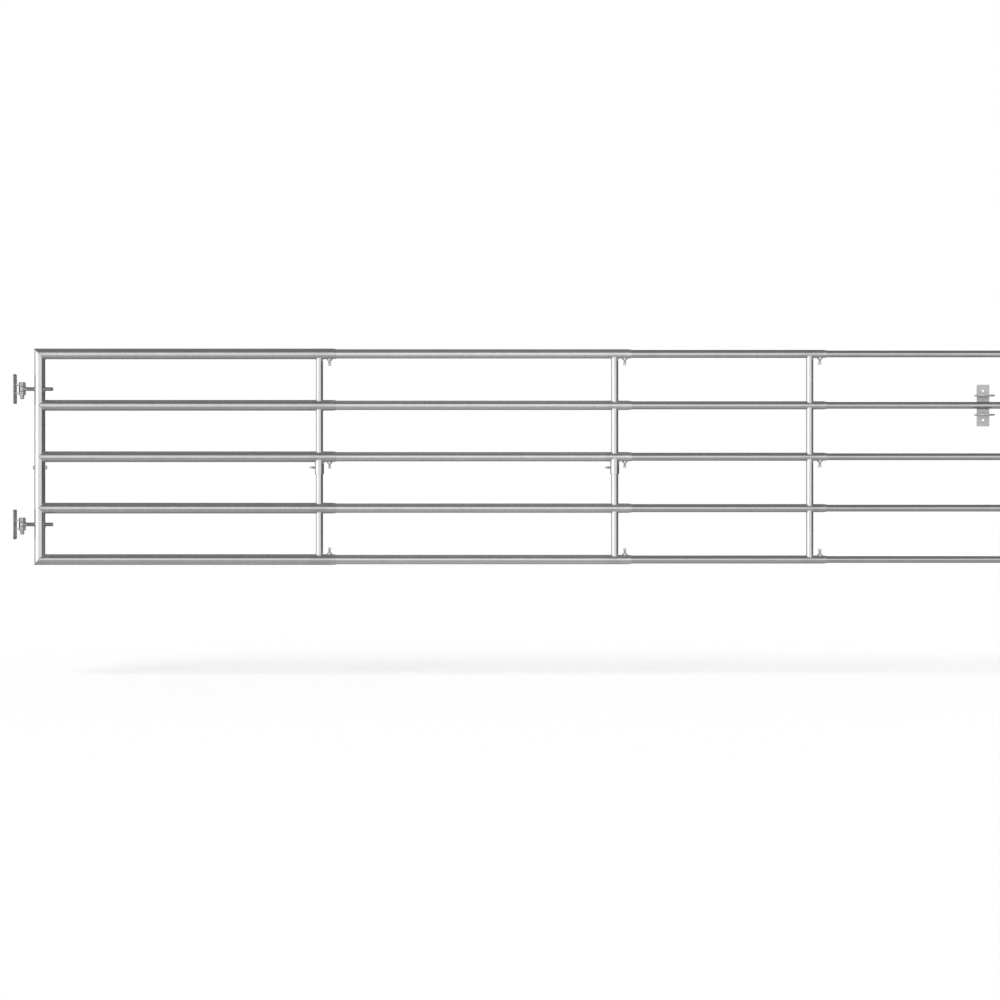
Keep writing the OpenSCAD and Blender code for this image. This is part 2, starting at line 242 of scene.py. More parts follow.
sun = bpy.data.objects.new("soft_sun", bpy.data.lights.new("soft_sun", "SUN"))
scene.collection.objects.link(sun)
sun.data.energy = SUN_ENERGY
sun.data.angle = math.radians(SUN_SPREAD)
sun.rotation_euler = [math.radians(turn) for turn in SUN_TURN]
sun.visible_glossy = False
print("sun", SUN_ENERGY, "turned", SUN_TURN)

# %% [markdown]
# ## Floor
# The gate hangs about half a metre over the ground. The floor is a plain pale sheet; a little glow that
# only the camera sees lifts it to white, and the gate's soft shadow still falls on it. In the tubes the
# floor shows grey under the gate, where the photograph's rails turn grey towards their undersides, and
# further out it lets the room through, so that the uprights keep their bands all the way down.

# %% Helpers for materials and meshes


def new_material(name):
    material = bpy.data.materials.new(name)
    material.use_nodes = True
    material.node_tree.nodes.clear()
    return material, Wire(material.node_tree)


def plain_mesh(name, points, faces, edges=()):
    mesh = bpy.data.meshes.new(name)
    mesh.from_pydata([tuple(p) for p in points], edges, faces)
    mesh.update()
    return mesh


def new_object(name, mesh):
    piece = bpy.data.objects.new(name, mesh)
    scene.collection.objects.link(piece)
    return piece


print("helpers ready")

# %% The floor
FLOOR_Z = -0.647
FLOOR_HALF = 60.0
FLOOR_PALE = (0.8, 0.8, 0.8, 1)
FLOOR_GLOW = 0.34
MIRRORED = {"front": 0.48, "back": 0.24}
MIRRORED_EDGE = (0.05, 0.55)
FAR_EDGE = (1.5, 3.2)

floor_paint, paint = new_material("floor_paint")
to_camera, to_gloss, to_glass = rays(paint)
along, across = paint.node("ShaderNodeTexCoord", out="Object").parts(2)
shown = MIRRORED["front"] + across.step(*MIRRORED_EDGE) * (MIRRORED["back"] - MIRRORED["front"])
beside = (along - end_x / 2).math("ABSOLUTE") - end_x / 2
far = across.math("ABSOLUTE").high(beside).step(*FAR_EDGE)
matt = paint.node("ShaderNodeBsdfDiffuse", None, {"Color": FLOOR_PALE})
glow = paint.node("ShaderNodeEmission", None, {"Color": to_camera * FLOOR_GLOW, "Strength": 1.0})
seen = paint.node("ShaderNodeAddShader", None, {0: matt, 1: glow})
mirrored = paint.node("ShaderNodeEmission", None, {"Color": shown, "Strength": 1.0})
room_beyond = paint.node("ShaderNodeBsdfTransparent")
mirrored = paint.node("ShaderNodeMixShader", None, {0: far, 1: mirrored, 2: room_beyond})
both = paint.node("ShaderNodeMixShader", None, {0: to_gloss.high(to_glass), 1: seen, 2: mirrored})
paint.node("ShaderNodeOutputMaterial", None, {"Surface": both})
corners = [(sx * FLOOR_HALF, sy * FLOOR_HALF, FLOOR_Z) for sx, sy in ((-1, -1), (1, -1), (1, 1), (-1, 1))]
floor = new_object("floor", plain_mesh("floor", corners, [(0, 1, 2, 3)]))
floor.data.materials.append(floor_paint)
floor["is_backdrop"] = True
print("floor at", FLOOR_Z)

# %% [markdown]
# ## Zinc
# Hot-dipped zinc is a bright grey metal, very slightly blue. Close up it shows spangles, the crystals that
# froze in the bath, each a little lighter or duller than its neighbour. Broad clouds show where the coat is
# thicker, and handling leaves fine streaks along a tube. An image of zinc would blur close up, so cells and
# noise draw these marks. One function makes each zinc finish, with the streaks running along the piece's
# length. The rails of each section come from a batch of their own, so their tones differ a little.

# %% A function for zinc finishes
STREAK = {"x": (2.5, 420, 420), "z": (420, 420, 2.5), "none": (90, 90, 90)}
NOISE = {"clouds": (9.0, 4.0), "streaks": (1.0, 3.0), "lumps": (55.0, 2.0)}
SHADE = {"crystal": 0.10, "clouds": 0.16, "streaks": 0.10}
ROUGH = {"crystal": 0.07, "clouds": 0.10, "streaks": 0.09}
RELIEF = {"crystal": 0.1, "streaks": 0.2}
RELIEF_DEPTH = 2 * MM
DULL = {"edge": (0.055, 0.02), "share": 0.55, "darker": 0.10, "rougher": 0.12}
DARKEST, LIGHTEST = 0.80, 1.20


def zinc(name, tone, rough, spangle_mm, along="none", relief=0.012, dull_at=(), metal=1.0):
    """A zinc finish. dull_at holds places along the gate where the heat of a weld left the coat duller."""
    material, ink = new_material(name)

    def noise(kind, vector):
        scale, detail = NOISE[kind]
        return ink.node("ShaderNodeTexNoise", None, {"Vector": vector, "Scale": scale, "Detail": detail})

    place = ink.node("ShaderNodeTexCoord", out="Object")
    crystals = ink.node("ShaderNodeTexVoronoi", {"feature": "F1"}, {
        "Vector": place, "Scale": 1000 / spangle_mm, "Randomness": 1.0}, out="Color")
    crystal = ink.node("ShaderNodeSeparateColor", None, {0: crystals}, out=0) - 0.5
    clouds = noise("clouds", place) - 0.5
    grain = ink.node("ShaderNodeMapping", None, {"Vector": place, "Scale": STREAK[along]})
    streaks = noise("streaks", grain) - 0.5
    shade, roughness = (
        base + crystal * part["crystal"] + clouds * part["clouds"] + streaks * part["streaks"]
        for base, part in ((1, SHADE), (rough, ROUGH)))
    if dull_at:
        along_gate = place.parts(1)[0]
        dull = 0
        for spot in dull_at:
            dull = (along_gate - spot).math("ABSOLUTE").step(*DULL["edge"]).high(dull)
        dull = dull * (DULL["share"] + clouds)
        shade, roughness = shade - dull * DULL["darker"], roughness + dull * DULL["rougher"]
    dark, light = (tuple(k * c for c in tone) + (1,) for k in (DARKEST, LIGHTEST))
    colour = ((shade - DARKEST) / (LIGHTEST - DARKEST)).mix(dark, light)
    height = noise("lumps", place) + streaks * RELIEF["streaks"] + crystal * RELIEF["crystal"]
    bump = ink.node("ShaderNodeBump", None, {
        "Strength": relief, "Distance": RELIEF_DEPTH, "Height": height})
    coat = ink.node("ShaderNodeBsdfPrincipled", None, {
        "Base Color": colour, "Roughness": roughness, "Metallic": metal, "Normal": bump})
    ink.node("ShaderNodeOutputMaterial", None, {"Surface": coat})
    return material


print("streaks run", STREAK)

# %% The finishes
BATCH = {"first": 0.95, "second": 1.09, "third": 0.92, "end": 0.84}
TUBE_GREY = 0.685
TUBE = {"rough": 0.17, "spangle_mm": 9.0}
SMALL = {"rough": 0.30, "spangle_mm": 3.0, "relief": 0.03}


def cool(grey, share=1.0):
    """A grey with a little more green and blue in it, as zinc has, times a share."""
    return [share * (grey + more) for more in (0, 0.005, 0.01)]


welds_at = [stile_x, *brace_x.values(), end_x]
rail_zinc = {s: zinc(f"{s}_rail_zinc", cool(TUBE_GREY, share), **TUBE, along="x", dull_at=welds_at)
             for s, share in BATCH.items()}
upright_zinc = zinc("upright_zinc", cool(TUBE_GREY), **TUBE, along="z")
plate_zinc = zinc("plate_zinc", cool(0.58), rough=0.36, spangle_mm=14.0, relief=0.04, metal=0.75)
# The hinge plates and lugs take a darker zinc than the rest. This is painted shade: it stands in for the
# shade and dark reflection of the post they are fixed to.
hinge_zinc_painted_shade = zinc("hinge_zinc_painted_shade", cool(0.46), rough=0.26, spangle_mm=12.0, relief=0.03)
bolt_zinc = zinc("bolt_zinc", cool(0.64), **SMALL)
nut_zinc = zinc("nut_zinc", cool(0.70), **SMALL)
eye_zinc = zinc("eye_zinc", cool(0.50), **SMALL)
weld_zinc = zinc("weld_zinc", cool(0.68), rough=0.30, spangle_mm=4.0, relief=0.10)
print("zinc finishes:", [m.name for m in bpy.data.materials if "zinc" in m.name])

# %% [markdown]
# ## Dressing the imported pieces
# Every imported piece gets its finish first, put in the material slots of its mesh. Most pieces are made
# again further down with smoother walls, threads or eased edges, in the same finishes.

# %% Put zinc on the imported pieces


def finish_for(node):
    """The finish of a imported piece, by what its name says it is."""
    if "rail" in node:
        return rail_zinc[node.split("_")[0]]
    if "keep" in node:
        return plate_zinc
    # Hinge plates and lugs get the darker zinc with painted shade.
    if "plate" in node or "lugs" in node:
        return hinge_zinc_painted_shade
    if "eye" in node or "pin" in node.split("_"):
        return eye_zinc
    if "nut" in node:
        return nut_zinc
    if "bolt" in node:
        return bolt_zinc
    return upright_zinc


for name, piece in nodes.items():
    piece.data.materials.clear()
    piece.data.materials.append(finish_for(name))
print("dressed", len(nodes), "packed pieces")

# %% [markdown]
# ## Screw threads
# A thread is a ridge that climbs a rod by one pitch each turn. It could be carved from a cylinder, but a
# sheet of quads rolled up with a slant is cleaner: the two long edges meet one pitch apart and the ridge
# closes on itself. Geometry Nodes roll the sheet, so one tree serves the eye bolts, the set bolts and the
# stile bolt.

# %% Helpers for Geometry Nodes
FLOAT, WHOLE = "NodeSocketFloat", "NodeSocketInt"


def new_tree(name, **inputs):
    """A geometry tree with named inputs, each (socket type, value), and a wire for each input."""
    tree = bpy.data.node_groups.new(name, "GeometryNodeTree")
    tree.interface.new_socket("Geometry", in_out="INPUT", socket_type="NodeSocketGeometry")
    tree.interface.new_socket("Geometry", in_out="OUTPUT", socket_type="NodeSocketGeometry")
    for label, (kind, value) in inputs.items():
        socket = tree.interface.new_socket(label.replace("_", " "), in_out="INPUT", socket_type=kind)
        socket.default_value = value
    start = tree.nodes.new("NodeGroupInput")
    return tree, Wire(tree), [Wire(tree, s) for s in start.outputs[:len(inputs) + 1]]


def close_tree(base, geometry, material):
    """Ends a tree with real geometry and its material on it."""
    real = base.node("GeometryNodeRealizeInstances", None, {0: geometry})
    done = base.node("GeometryNodeSetMaterial", None, {"Geometry": real, "Material": material})
    base.node("NodeGroupOutput", None, {0: done})


def run_tree(tree, mesh, **values):
    """Runs a tree on a mesh and gives the result back as a plain mesh."""
    carrier = new_object("carrier", mesh)
    modifier = carrier.modifiers.new("nodes", "NODES")
    modifier.node_group = tree
    sockets = {s.name: s.identifier for s in tree.interface.items_tree if s.in_out == "INPUT"}
    for label, value in values.items():
        modifier[sockets[label.replace("_", " ")]] = value
    solved = carrier.evaluated_get(bpy.context.evaluated_depsgraph_get())
    result = bpy.data.meshes.new_from_object(solved)
    bpy.data.objects.remove(carrier)
    return result


def unit_sheet(base, columns, rows):
    """A grid of quads one unit wide and high, with wires for the place across and up, from 0 to 1."""
    sheet = base.node("GeometryNodeMeshGrid", None, {
        "Size X": 1.0, "Size Y": 1.0, "Vertices X": columns, "Vertices Y": rows})
    spot = base.node("GeometryNodeInputPosition")
    return sheet, spot, [part + 0.5 for part in spot.parts(2)]


def shape_sheet(base, sheet, place, merge_mm):
    """Moves a sheet's points to their place and merges those that meet."""
    moved = base.node("GeometryNodeSetPosition", None, {"Geometry": sheet, "Position": place})
    return base.node("GeometryNodeMergeByDistance", None, {"Geometry": moved, "Distance": merge_mm * MM})


print("geometry helpers ready")

# %% The thread tree
AROUND = 24
ROWS_A_TURN = 4

thread_tree, base, (_, radius, depth, pitch, length, tip, rows) = new_tree(
    "screw_thread", Radius=(FLOAT, 8 * MM), Depth=(FLOAT, 1.1 * MM), Pitch=(FLOAT, 2 * MM),
    Length=(FLOAT, 0.1), Tip=(FLOAT, 1.5 * MM), Rows=(WHOLE, 9))
sheet, _, (across, up) = unit_sheet(base, AROUND + 1, rows)
row = (up * (rows - 1)).math("ROUND")
turn = (row / ROWS_A_TURN).math("FLOOR")
rung = row - turn * ROWS_A_TURN
# Rungs 0 and 1 of each turn lie in the groove, 2 and 3 on the crest, and the flanks are the longer steps.
odd = rung % 2
on_crest = rung.math("GREATER_THAN", 1.5)
climb = (turn + (rung - odd / 2) / ROWS_A_TURN + across - 1) * pitch
height = climb.high(0).low(length)
ridge = radius - depth * (1 - on_crest)
eased = ridge.low(radius - tip + height.low(length - height))
inner_row = row.math("GREATER_THAN", 0.5) * row.math("LESS_THAN", rows - 1.5)
reach = eased * inner_row
angle = across * math.tau
rolled = base.node("ShaderNodeCombineXYZ", None, {
    0: reach * angle.math("COSINE"), 1: reach * angle.math("SINE"), 2: height})
close_tree(base, shape_sheet(base, sheet, rolled, merge_mm=0.004), bolt_zinc)
print("thread tree has", len(thread_tree.nodes), "nodes")

# %% Threaded rods
M16 = {"radius_mm": 8.0, "pitch_mm": 2.0, "depth_mm": 1.2, "tip_mm": 1.5}
M10 = {"radius_mm": 5.0, "pitch_mm": 1.5, "depth_mm": 0.92, "tip_mm": 1.2}
M8 = {"radius_mm": 4.0, "pitch_mm": 1.25, "depth_mm": 0.77, "tip_mm": 1.0}


def thread(radius_mm, pitch_mm, length_mm, depth_mm, tip_mm):
    """A threaded rod standing on the origin, along +Z."""
    turns = math.ceil(length_mm / pitch_mm) + 2
    sizes = {"Radius": radius_mm, "Depth": depth_mm, "Pitch": pitch_mm, "Length": length_mm, "Tip": tip_mm}
    return run_tree(thread_tree, bpy.data.meshes.new("empty"), Rows=turns * ROWS_A_TURN + 1,
                    **{label: size * MM for label, size in sizes.items()})


print("20 mm of a set bolt's thread has", len(thread(length_mm=20, **M10).polygons), "faces")

# %% [markdown]
# ## Bolts and nuts
# The set bolts and sleeve bolts have plain square heads. The nuts and the stile bolt's head are hexagons
# whose corners are turned off at 30 degrees, which leaves the curved facets that catch the light. A bevel
# would cut every edge alike. Rings of points, joined by quads, follow the turning exactly: each ring lies
# on the head's outline or on the turning circle. Weld nuts are cut below to sit on their tube.

# %% Rings of points
RING = 48
TURNS = np.linspace(0, math.tau, RING, endpoint=False)


def polygon(sides, flats, first_corner=0.0):
    """Radius of a regular polygon at each point of a ring, from its width across flats."""
    sector = math.tau / sides
    return flats / 2 / np.cos((TURNS - first_corner) % sector - sector / 2)


def hexagon(flats):
    return polygon(6, flats)


def ring(radius, height):
    radius, height = np.broadcast_to(radius, RING), np.broadcast_to(height, RING)
    return np.stack([radius * np.cos(TURNS), radius * np.sin(TURNS), height], axis=1)


print("a 17 mm hexagon is", round(hexagon(17).max() * 2, 2), "mm over its corners")

# %% Joining rings
SHARP_ANGLE = math.radians(32)


def finish_mesh(mesh, material):
    mesh.materials.clear()
    mesh.materials.append(material)
    mesh.polygons.foreach_set("material_index", [0] * len(mesh.polygons))
    mesh.polygons.foreach_set("use_smooth", [True] * len(mesh.polygons))
    mesh.set_sharp_from_angle(angle=SHARP_ANGLE)
    return mesh


def loft(name, rings, material, tube=False):
    """Joins rings with quads. A tube's last ring joins its first; otherwise fans close both ends."""
    points = np.concatenate(rings)
    count = len(rings)
    pairs = [(i, (i + 1) % count) for i in range(count if tube else count - 1)]
    faces = [(a * RING + j, a * RING + (j + 1) % RING, b * RING + (j + 1) % RING, b * RING + j)
             for a, b in pairs for j in range(RING)]
    if not tube:
        points = np.concatenate([points, [rings[0].mean(0)], [rings[-1].mean(0)]])
        first, last = len(points) - 2, len(points) - 1
        top = (count - 1) * RING
        faces += [(first, (j + 1) % RING, j) for j in range(RING)]
        faces += [(last, top + j, top + (j + 1) % RING) for j in range(RING)]
    shape = bmesh.new()
    shape.from_mesh(plain_mesh(name, points, faces))
    bmesh.ops.recalc_face_normals(shape, faces=shape.faces)
    mesh = bpy.data.meshes.new(name)
    shape.to_mesh(mesh)
    shape.free()
    return finish_mesh(mesh, material)


def joined(name, meshes, material):
    """One mesh from several, with one finish."""
    shape = bmesh.new()
    for mesh in meshes:
        shape.from_mesh(mesh)
    result = bpy.data.meshes.new(name)
    shape.to_mesh(result)
    shape.free()
    return finish_mesh(result, material)


print("edges over", round(math.degrees(SHARP_ANGLE)), "degrees stay sharp")

# %% Putting pieces in place
TO_LEFT = Matrix.Rotation(math.radians(-90), 4, "Y")
TO_RIGHT = Matrix.Rotation(math.radians(90), 4, "Y")
DOWN = Matrix.Rotation(math.radians(180), 4, "X")
UP = Matrix.Identity(4)
CLAMP_WAY = {"top": DOWN, "middle": DOWN, "bottom": UP}


def placed(mesh, turn):
    mesh.transform(turn)
    return mesh


def stand_for(name, mesh, *replaced):
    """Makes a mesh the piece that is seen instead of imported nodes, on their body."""
    piece = new_object(name, mesh)
    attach(piece, body_of_node[replaced[0]])
    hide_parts(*replaced)
    return piece


print("set bolts point", {clamp: "up" if way == UP else "down" for clamp, way in CLAMP_WAY.items()})

# %% Bolt heads
CHAMFER_SLOPE = math.tan(math.radians(30))
TURNED, WASHER = 0.475, 0.47
WASHER_H = 0.4 * MM
SQUARE_EASE, SQUARE_DROP = 0.4 * MM, 0.3 * MM


def chamfer(corner, turned):
    """How far down a head's side the turning at its top reaches, at each point of a ring."""
    return (corner - turned) * CHAMFER_SLOPE


def hex_head(flats, height):
    """A head that stands on the origin along +Z, with a washer face under it."""
    corner, washer, turned = hexagon(flats), WASHER * flats, TURNED * flats
    return loft("head", [ring(washer, 0), ring(washer, WASHER_H), ring(corner, WASHER_H),
                         ring(corner, height - chamfer(corner, turned)), ring(turned, height)], bolt_zinc)


def square_head(flats, height):
    """A set screw's head along +Z, with its top corners turned off."""
    corner, turned = polygon(4, flats, math.radians(45)), flats / 2
    return loft("head", [ring(corner, 0), ring(corner, height - chamfer(corner, turned) - SQUARE_DROP),
                         ring(turned - SQUARE_EASE, height)], bolt_zinc)


print("a set bolt's head has", len(square_head(13 * MM, 9 * MM).polygons), "faces")

# %% Set bolts, sleeve bolts and the stile bolt
SET_HEAD = {"flats": 13 * MM, "height": 9 * MM}
SLEEVE_HEAD = {"flats": 8 * MM, "height": 9 * MM}
STILE_HEAD = {"flats": 13 * MM, "height": 5.3 * MM}
INTO_HEAD = 1 * MM


def bolt(node, size, make_head, head, way):
    """A bolt in place of a packed one, with its head towards the given way."""
    low, high = (Vector(c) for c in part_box(node))
    toward = (way @ Vector((0, 0, 1))).normalized()
    total = abs(toward.dot(high - low))
    tip_at = (low + high) / 2 - toward * total / 2
    neck = total - head["height"]
    shank = thread(length_mm=(neck + INTO_HEAD) / MM, **size)
    top = placed(make_head(**head), Matrix.Translation((0, 0, neck)))
    mesh = placed(joined(node + "_threaded", [shank, top], bolt_zinc), Matrix.Translation(tip_at) @ way)
    return stand_for(node + "_threaded", mesh, node)


bolts = [bolt(f"{s}_set_bolt_{c}", M10, square_head, SET_HEAD, way)
         for s in CLAMPED for c, way in CLAMP_WAY.items()]
bolts += [bolt(f"{s}_sleeve_bolt", M10, square_head, SLEEVE_HEAD, TO_LEFT) for s in SLEEVED]
bolts.append(bolt("stile_bolt", M8, hex_head, STILE_HEAD, TO_LEFT))
print("threaded", len(bolts), "bolts,", sum(len(b.data.polygons) for b in bolts), "faces")

# %% Weld nuts and the stile nut
WELD_GAP = 0.1 * MM
NUT_FLATS = 17 * MM


def weld_nut(seat_r, bore=5.1 * MM, height=6.5 * MM, ease=0.8 * MM):
    """A nut along +Z that sits on a tube of the given radius, which lies along X."""
    corner, turned, top = hexagon(NUT_FLATS), TURNED * NUT_FLATS, seat_r + height

    def seat(radius):
        return np.sqrt((seat_r + WELD_GAP) ** 2 - (radius * np.sin(TURNS)) ** 2)

    return loft("nut", [ring(corner, seat(corner)), ring(corner, top - chamfer(corner, turned)),
                        ring(turned, top), ring(bore + ease, top), ring(bore, top - ease),
                        ring(bore, seat(bore))], nut_zinc, tube=True)


def plain_nut(flats, height, bore=4.1 * MM, ease=0.7 * MM):
    """A nut along +Z from the origin, turned off at both ends."""
    corner, turned = hexagon(flats), TURNED * flats
    cut = chamfer(corner, turned)
    return loft("nut", [ring(turned, 0), ring(corner, cut), ring(corner, height - cut),
                        ring(turned, height), ring(bore + ease, height), ring(bore, height - ease),
                        ring(bore, ease), ring(bore + ease, 0)], nut_zinc, tube=True)


bolt_place = {(s, c): Vector((middle(f"{s}_set_bolt_{c}").x, 0, row_z[r]))
              for s in CLAMPED for c, r in CLAMPS.items()}
for s in CLAMPED:
    nuts = [placed(weld_nut(tube_r[s]), Matrix.Translation(bolt_place[s, c]) @ way)
            for c, way in CLAMP_WAY.items()]
    stand_for(f"{s}_weld_nuts_turned", joined(f"{s}_weld_nuts_turned", nuts, nut_zinc), f"{s}_weld_nuts")
low, high = (Vector(c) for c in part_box("stile_nut"))
nut = placed(plain_nut(STILE_HEAD["flats"], high.x - low.x),
             Matrix.Translation((low.x, 0, (low.z + high.z) / 2)) @ TO_RIGHT)
stand_for("stile_nut_turned", nut, "stile_nut")
print("weld nuts at", [tuple(round(v, 3) for v in p) for p in bolt_place.values()][:3])

# %% [markdown]
# ## Drawn tubes
# Rails, stiles, braces and sleeves follow one rule. A tube's wall is walked round once, out along the
# outside and back through the bore, and that outline is turned about the axis. Each end is cut square,
# mitred for a corner of the leaf, or saddled to sit on another tube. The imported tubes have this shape, but
# their long thin triangles bend the reflections, so a Geometry Nodes tree turns clean quads instead. The
# points of its input mesh are the outline: place along the tube, radius, and which end's cut moves the
# point.

# %% The tube tree
tube_tree, base, (wall, around, start_saddle, end_saddle, start_mitre, end_mitre, finish) = new_tree(
    "drawn_tube", Around=(WHOLE, 72), Start_Saddle=(FLOAT, 0.0), End_Saddle=(FLOAT, 0.0),
    Start_Mitre=(FLOAT, 0.0), End_Mitre=(FLOAT, 0.0), Finish=("NodeSocketMaterial", upright_zinc))
stations = base.node("GeometryNodeAttributeDomainSize", None, {"Geometry": wall}, out="Point Count")
sheet, spot, (across, up) = unit_sheet(base, around + 1, stations + 1)
row = (up * stations).math("ROUND") % stations
station = base.node("GeometryNodeSampleIndex", {"data_type": "FLOAT_VECTOR"}, {
    "Geometry": wall, "Value": spot, "Index": row})
along, radius, cut = station.parts()
angle = across * math.tau
depth, rise = (radius * angle.math(wave) for wave in ("SINE", "COSINE"))


def saddle(met):
    """How far a tube of the given radius, met at a right angle, stands out from its axis at this depth."""
    return (met * met - depth * depth).high(0).math("SQRT")


at_start = (start_mitre * rise + saddle(start_saddle)) * (0 - cut).high(0)
at_end = (end_mitre * rise - saddle(end_saddle)) * cut.high(0)
turned = base.node("ShaderNodeCombineXYZ", None, {0: along + at_start + at_end, 1: depth, 2: rise})
close_tree(base, shape_sheet(base, sheet, turned, merge_mm=0.001), finish)
print("tube tree has", len(tube_tree.nodes), "nodes")

# %% The outline of a wall
TUBE_WALL = 1.5 * MM
NECK_LEN, NECK_GAP, LIP_WALL = 15 * MM, 0.3 * MM, 0.9 * MM
NECK_LEAD = 4 * MM
NECK_RINGS = 6
SAWN, FILED = 0.3 * MM, 0.7 * MM


def wall_outline(outer, bore, start, end, ease=SAWN, neck_bore=None):
    """Points round a wall from its bore at the start. A neck draws the far end in to its bore."""
    points = [(start + ease, bore, -1), (start, bore + ease, -1), (start, outer - ease, -1),
              (start + ease, outer, -1)]
    if neck_bore is None:
        return points + [(end - ease, outer, 1), (end, outer - ease, 1), (end, bore + ease, 1),
                         (end - ease, bore, 1)]
    lip = neck_bore + LIP_WALL
    steps = [i / NECK_RINGS for i in range(NECK_RINGS + 1)]
    bend = [(t, t ** 1.5 * (2.5 - 1.5 * t)) for t in steps]  # leaves the tube smoothly, flat at the lip
    begin, run = end - NECK_LEN, NECK_LEN - ease
    outside = [(begin + run * t, outer + (lip - outer) * k, 0) for t, k in bend]
    inside = [(begin + run * t, bore + (neck_bore - bore) * k, 0) for t, k in reversed(bend)]
    return points + [(begin - NECK_LEAD, outer, 0), *outside, (end, lip - ease, 0),
                     (end, neck_bore + ease, 0), *inside, (begin - NECK_LEAD, bore, 0)]


def drawn_tube(outline, finish, turn, **cuts):
    mesh = plain_mesh("outline", outline, [])
    return placed(run_tree(tube_tree, mesh, Finish=finish, **cuts), turn)


print("a plain wall has", len(wall_outline(22 * MM, 20 * MM, 0, 1)), "points")

# %% Rails
CORNER = {1: 1.0, 5: -1.0}


def rails_of(section):
    """The five rails of a section, lying along X."""
    count = SECTIONS.index(section)
    outer = tube_r[section]
    low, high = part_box(f"{section}_rail_3")
    first, last = count == 0, count == len(SECTIONS) - 1
    start, end = stile_x if first else low[0], end_x if last else high[0]
    neck_bore = None if last else tube_r[SECTIONS[count + 1]] + NECK_GAP
    outline = wall_outline(outer, outer - TUBE_WALL, start, end, neck_bore=neck_bore)
    met = outer + WELD_GAP
    tubes = []
    for r in ROWS:
        cuts = {}
        if first:
            cuts = {"Start_Mitre": -CORNER[r]} if r in CORNER else {"Start_Saddle": met}
        elif last:
            cuts = {"End_Mitre": CORNER[r]} if r in CORNER else {"End_Saddle": met}
        tubes.append(drawn_tube(outline, rail_zinc[section], Matrix.Translation((0, 0, row_z[r])), **cuts))
    return joined(f"{section}_rails_drawn", tubes, rail_zinc[section])


for section in SECTIONS:
    piece = stand_for(f"{section}_rails_drawn", rails_of(section), *(f"{section}_rail_{r}" for r in ROWS))
    print(piece.name, len(piece.data.polygons), "faces")

# %% Braces and sleeves
SLEEVE_BORE = brace_r + 0.5 * MM
joint_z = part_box("first_sleeve")[0][2]


def upright(x, outer, bore, start, end, ease=SAWN, **cuts):
    """A tube standing at x, from one height to another."""
    outline = wall_outline(outer, bore, start, end, ease)
    return drawn_tube(outline, upright_zinc, Matrix.Translation((x, 0, 0)) @ TO_LEFT, **cuts)


def brace_of(section):
    """A brace's four pieces between the rails; the third one down ends in a sleeve, where there is one."""
    met = tube_r[section] + WELD_GAP
    pieces = []
    for r in ROWS[:-1]:
        top, cuts = row_z[r], {"Start_Saddle": met, "End_Saddle": met}
        if r == CLAMPS["middle"] and section in SLEEVED:
            top, cuts = row_z[r] - tube_r[section] - TUBE_WALL, {"Start_Saddle": met}
        pieces.append(upright(brace_x[section], brace_r, brace_r - TUBE_WALL, row_z[r + 1], top, **cuts))
    return joined(f"{section}_brace_drawn", pieces, upright_zinc)


for section in SLEEVED:
    stand_for(f"{section}_brace_drawn", brace_of(section),
              f"{section}_brace_upper", f"{section}_brace_lower")
    sleeve = upright(brace_x[section], sleeve_r, SLEEVE_BORE, joint_z, row_z[CLAMPS["middle"]], FILED,
                     End_Saddle=tube_r[section] + WELD_GAP)
    stand_for(f"{section}_sleeve_drawn", finish_mesh(sleeve, upright_zinc), f"{section}_sleeve")
stand_for("third_brace_drawn", brace_of("third"), "third_brace")
print("the half-frames meet at", round(joint_z, 4))

# %% Stiles and bushes
BUSH_R, BUSH_BORE, BUSH_PROUD = 13 * MM, 8.1 * MM, 0.25 * MM
stile_r, end_r = tube_r["first"], tube_r["end"]
stile = [upright(stile_x, stile_r, stile_r - TUBE_WALL, joint_z, row_z[1], End_Mitre=1.0),
         upright(stile_x, stile_r, stile_r - TUBE_WALL, row_z[5], joint_z, Start_Mitre=-1.0)]
stand_for("hinge_stile_drawn", joined("hinge_stile_drawn", stile, upright_zinc),
          "hinge_stile_upper", "hinge_stile_lower")
closing = upright(end_x, end_r, end_r - TUBE_WALL, row_z[5], row_z[1], Start_Mitre=1.0, End_Mitre=-1.0)
stand_for("end_stile_drawn", finish_mesh(closing, upright_zinc), "end_stile")
bush_wall = [(0, BUSH_BORE, 1), (0, BUSH_R, 1), (0, BUSH_R, -1), (0, BUSH_BORE, -1)]
bush_cut = stile_r + BUSH_PROUD
bushes = [drawn_tube(bush_wall, upright_zinc, Matrix.Translation((stile_x, 0, eye_z[side])),
                     Start_Saddle=bush_cut, End_Saddle=bush_cut) for side in HINGES]
stand_for("hinge_bushes_drawn", joined("hinge_bushes_drawn", bushes, upright_zinc), "hinge_bushes")
print("stiles at", round(stile_x, 4), "and", round(end_x, 4))

# %% [markdown]
# ## Eye bolts
# Each eye bolt is a forged ring on a threaded rod, so that a gate can be levelled by screwing the rod in or
# out of its stile. A torus would be too round for a forging, so the ring is a lathed profile with eased
# edges. The neck swells into it, and the rod is the same thread tree as before, only larger.

# %% Ring, neck and rod
EYE_R, PIN_BORE = 14 * MM, 8.08 * MM
ROD_FROM = 20 * MM
NECK = [(9.0, 9.5), (13.4, 9.3), (15.0, 8.8), (17.0, 8.35), (19.5, 8.05), (23.0, 7.3)]
QUARTER = [math.radians(a) for a in (0, 30, 60, 90)]


def lathe_ring(bore, outer, half, ease_out, ease_in):
    """A ring about Z, with rounded outer edges and eased inner ones."""
    top = [(outer - ease_out * (1 - math.cos(a)), half - ease_out * (1 - math.sin(a))) for a in QUARTER]
    profile = [(bore, -half + ease_in), (bore, half - ease_in), (bore + ease_in, half), *reversed(top)]
    profile += [(r, -z) for r, z in top] + [(bore + ease_in, -half)]
    return loft("ring", [ring(r, z) for r, z in profile], eye_zinc, tube=True)


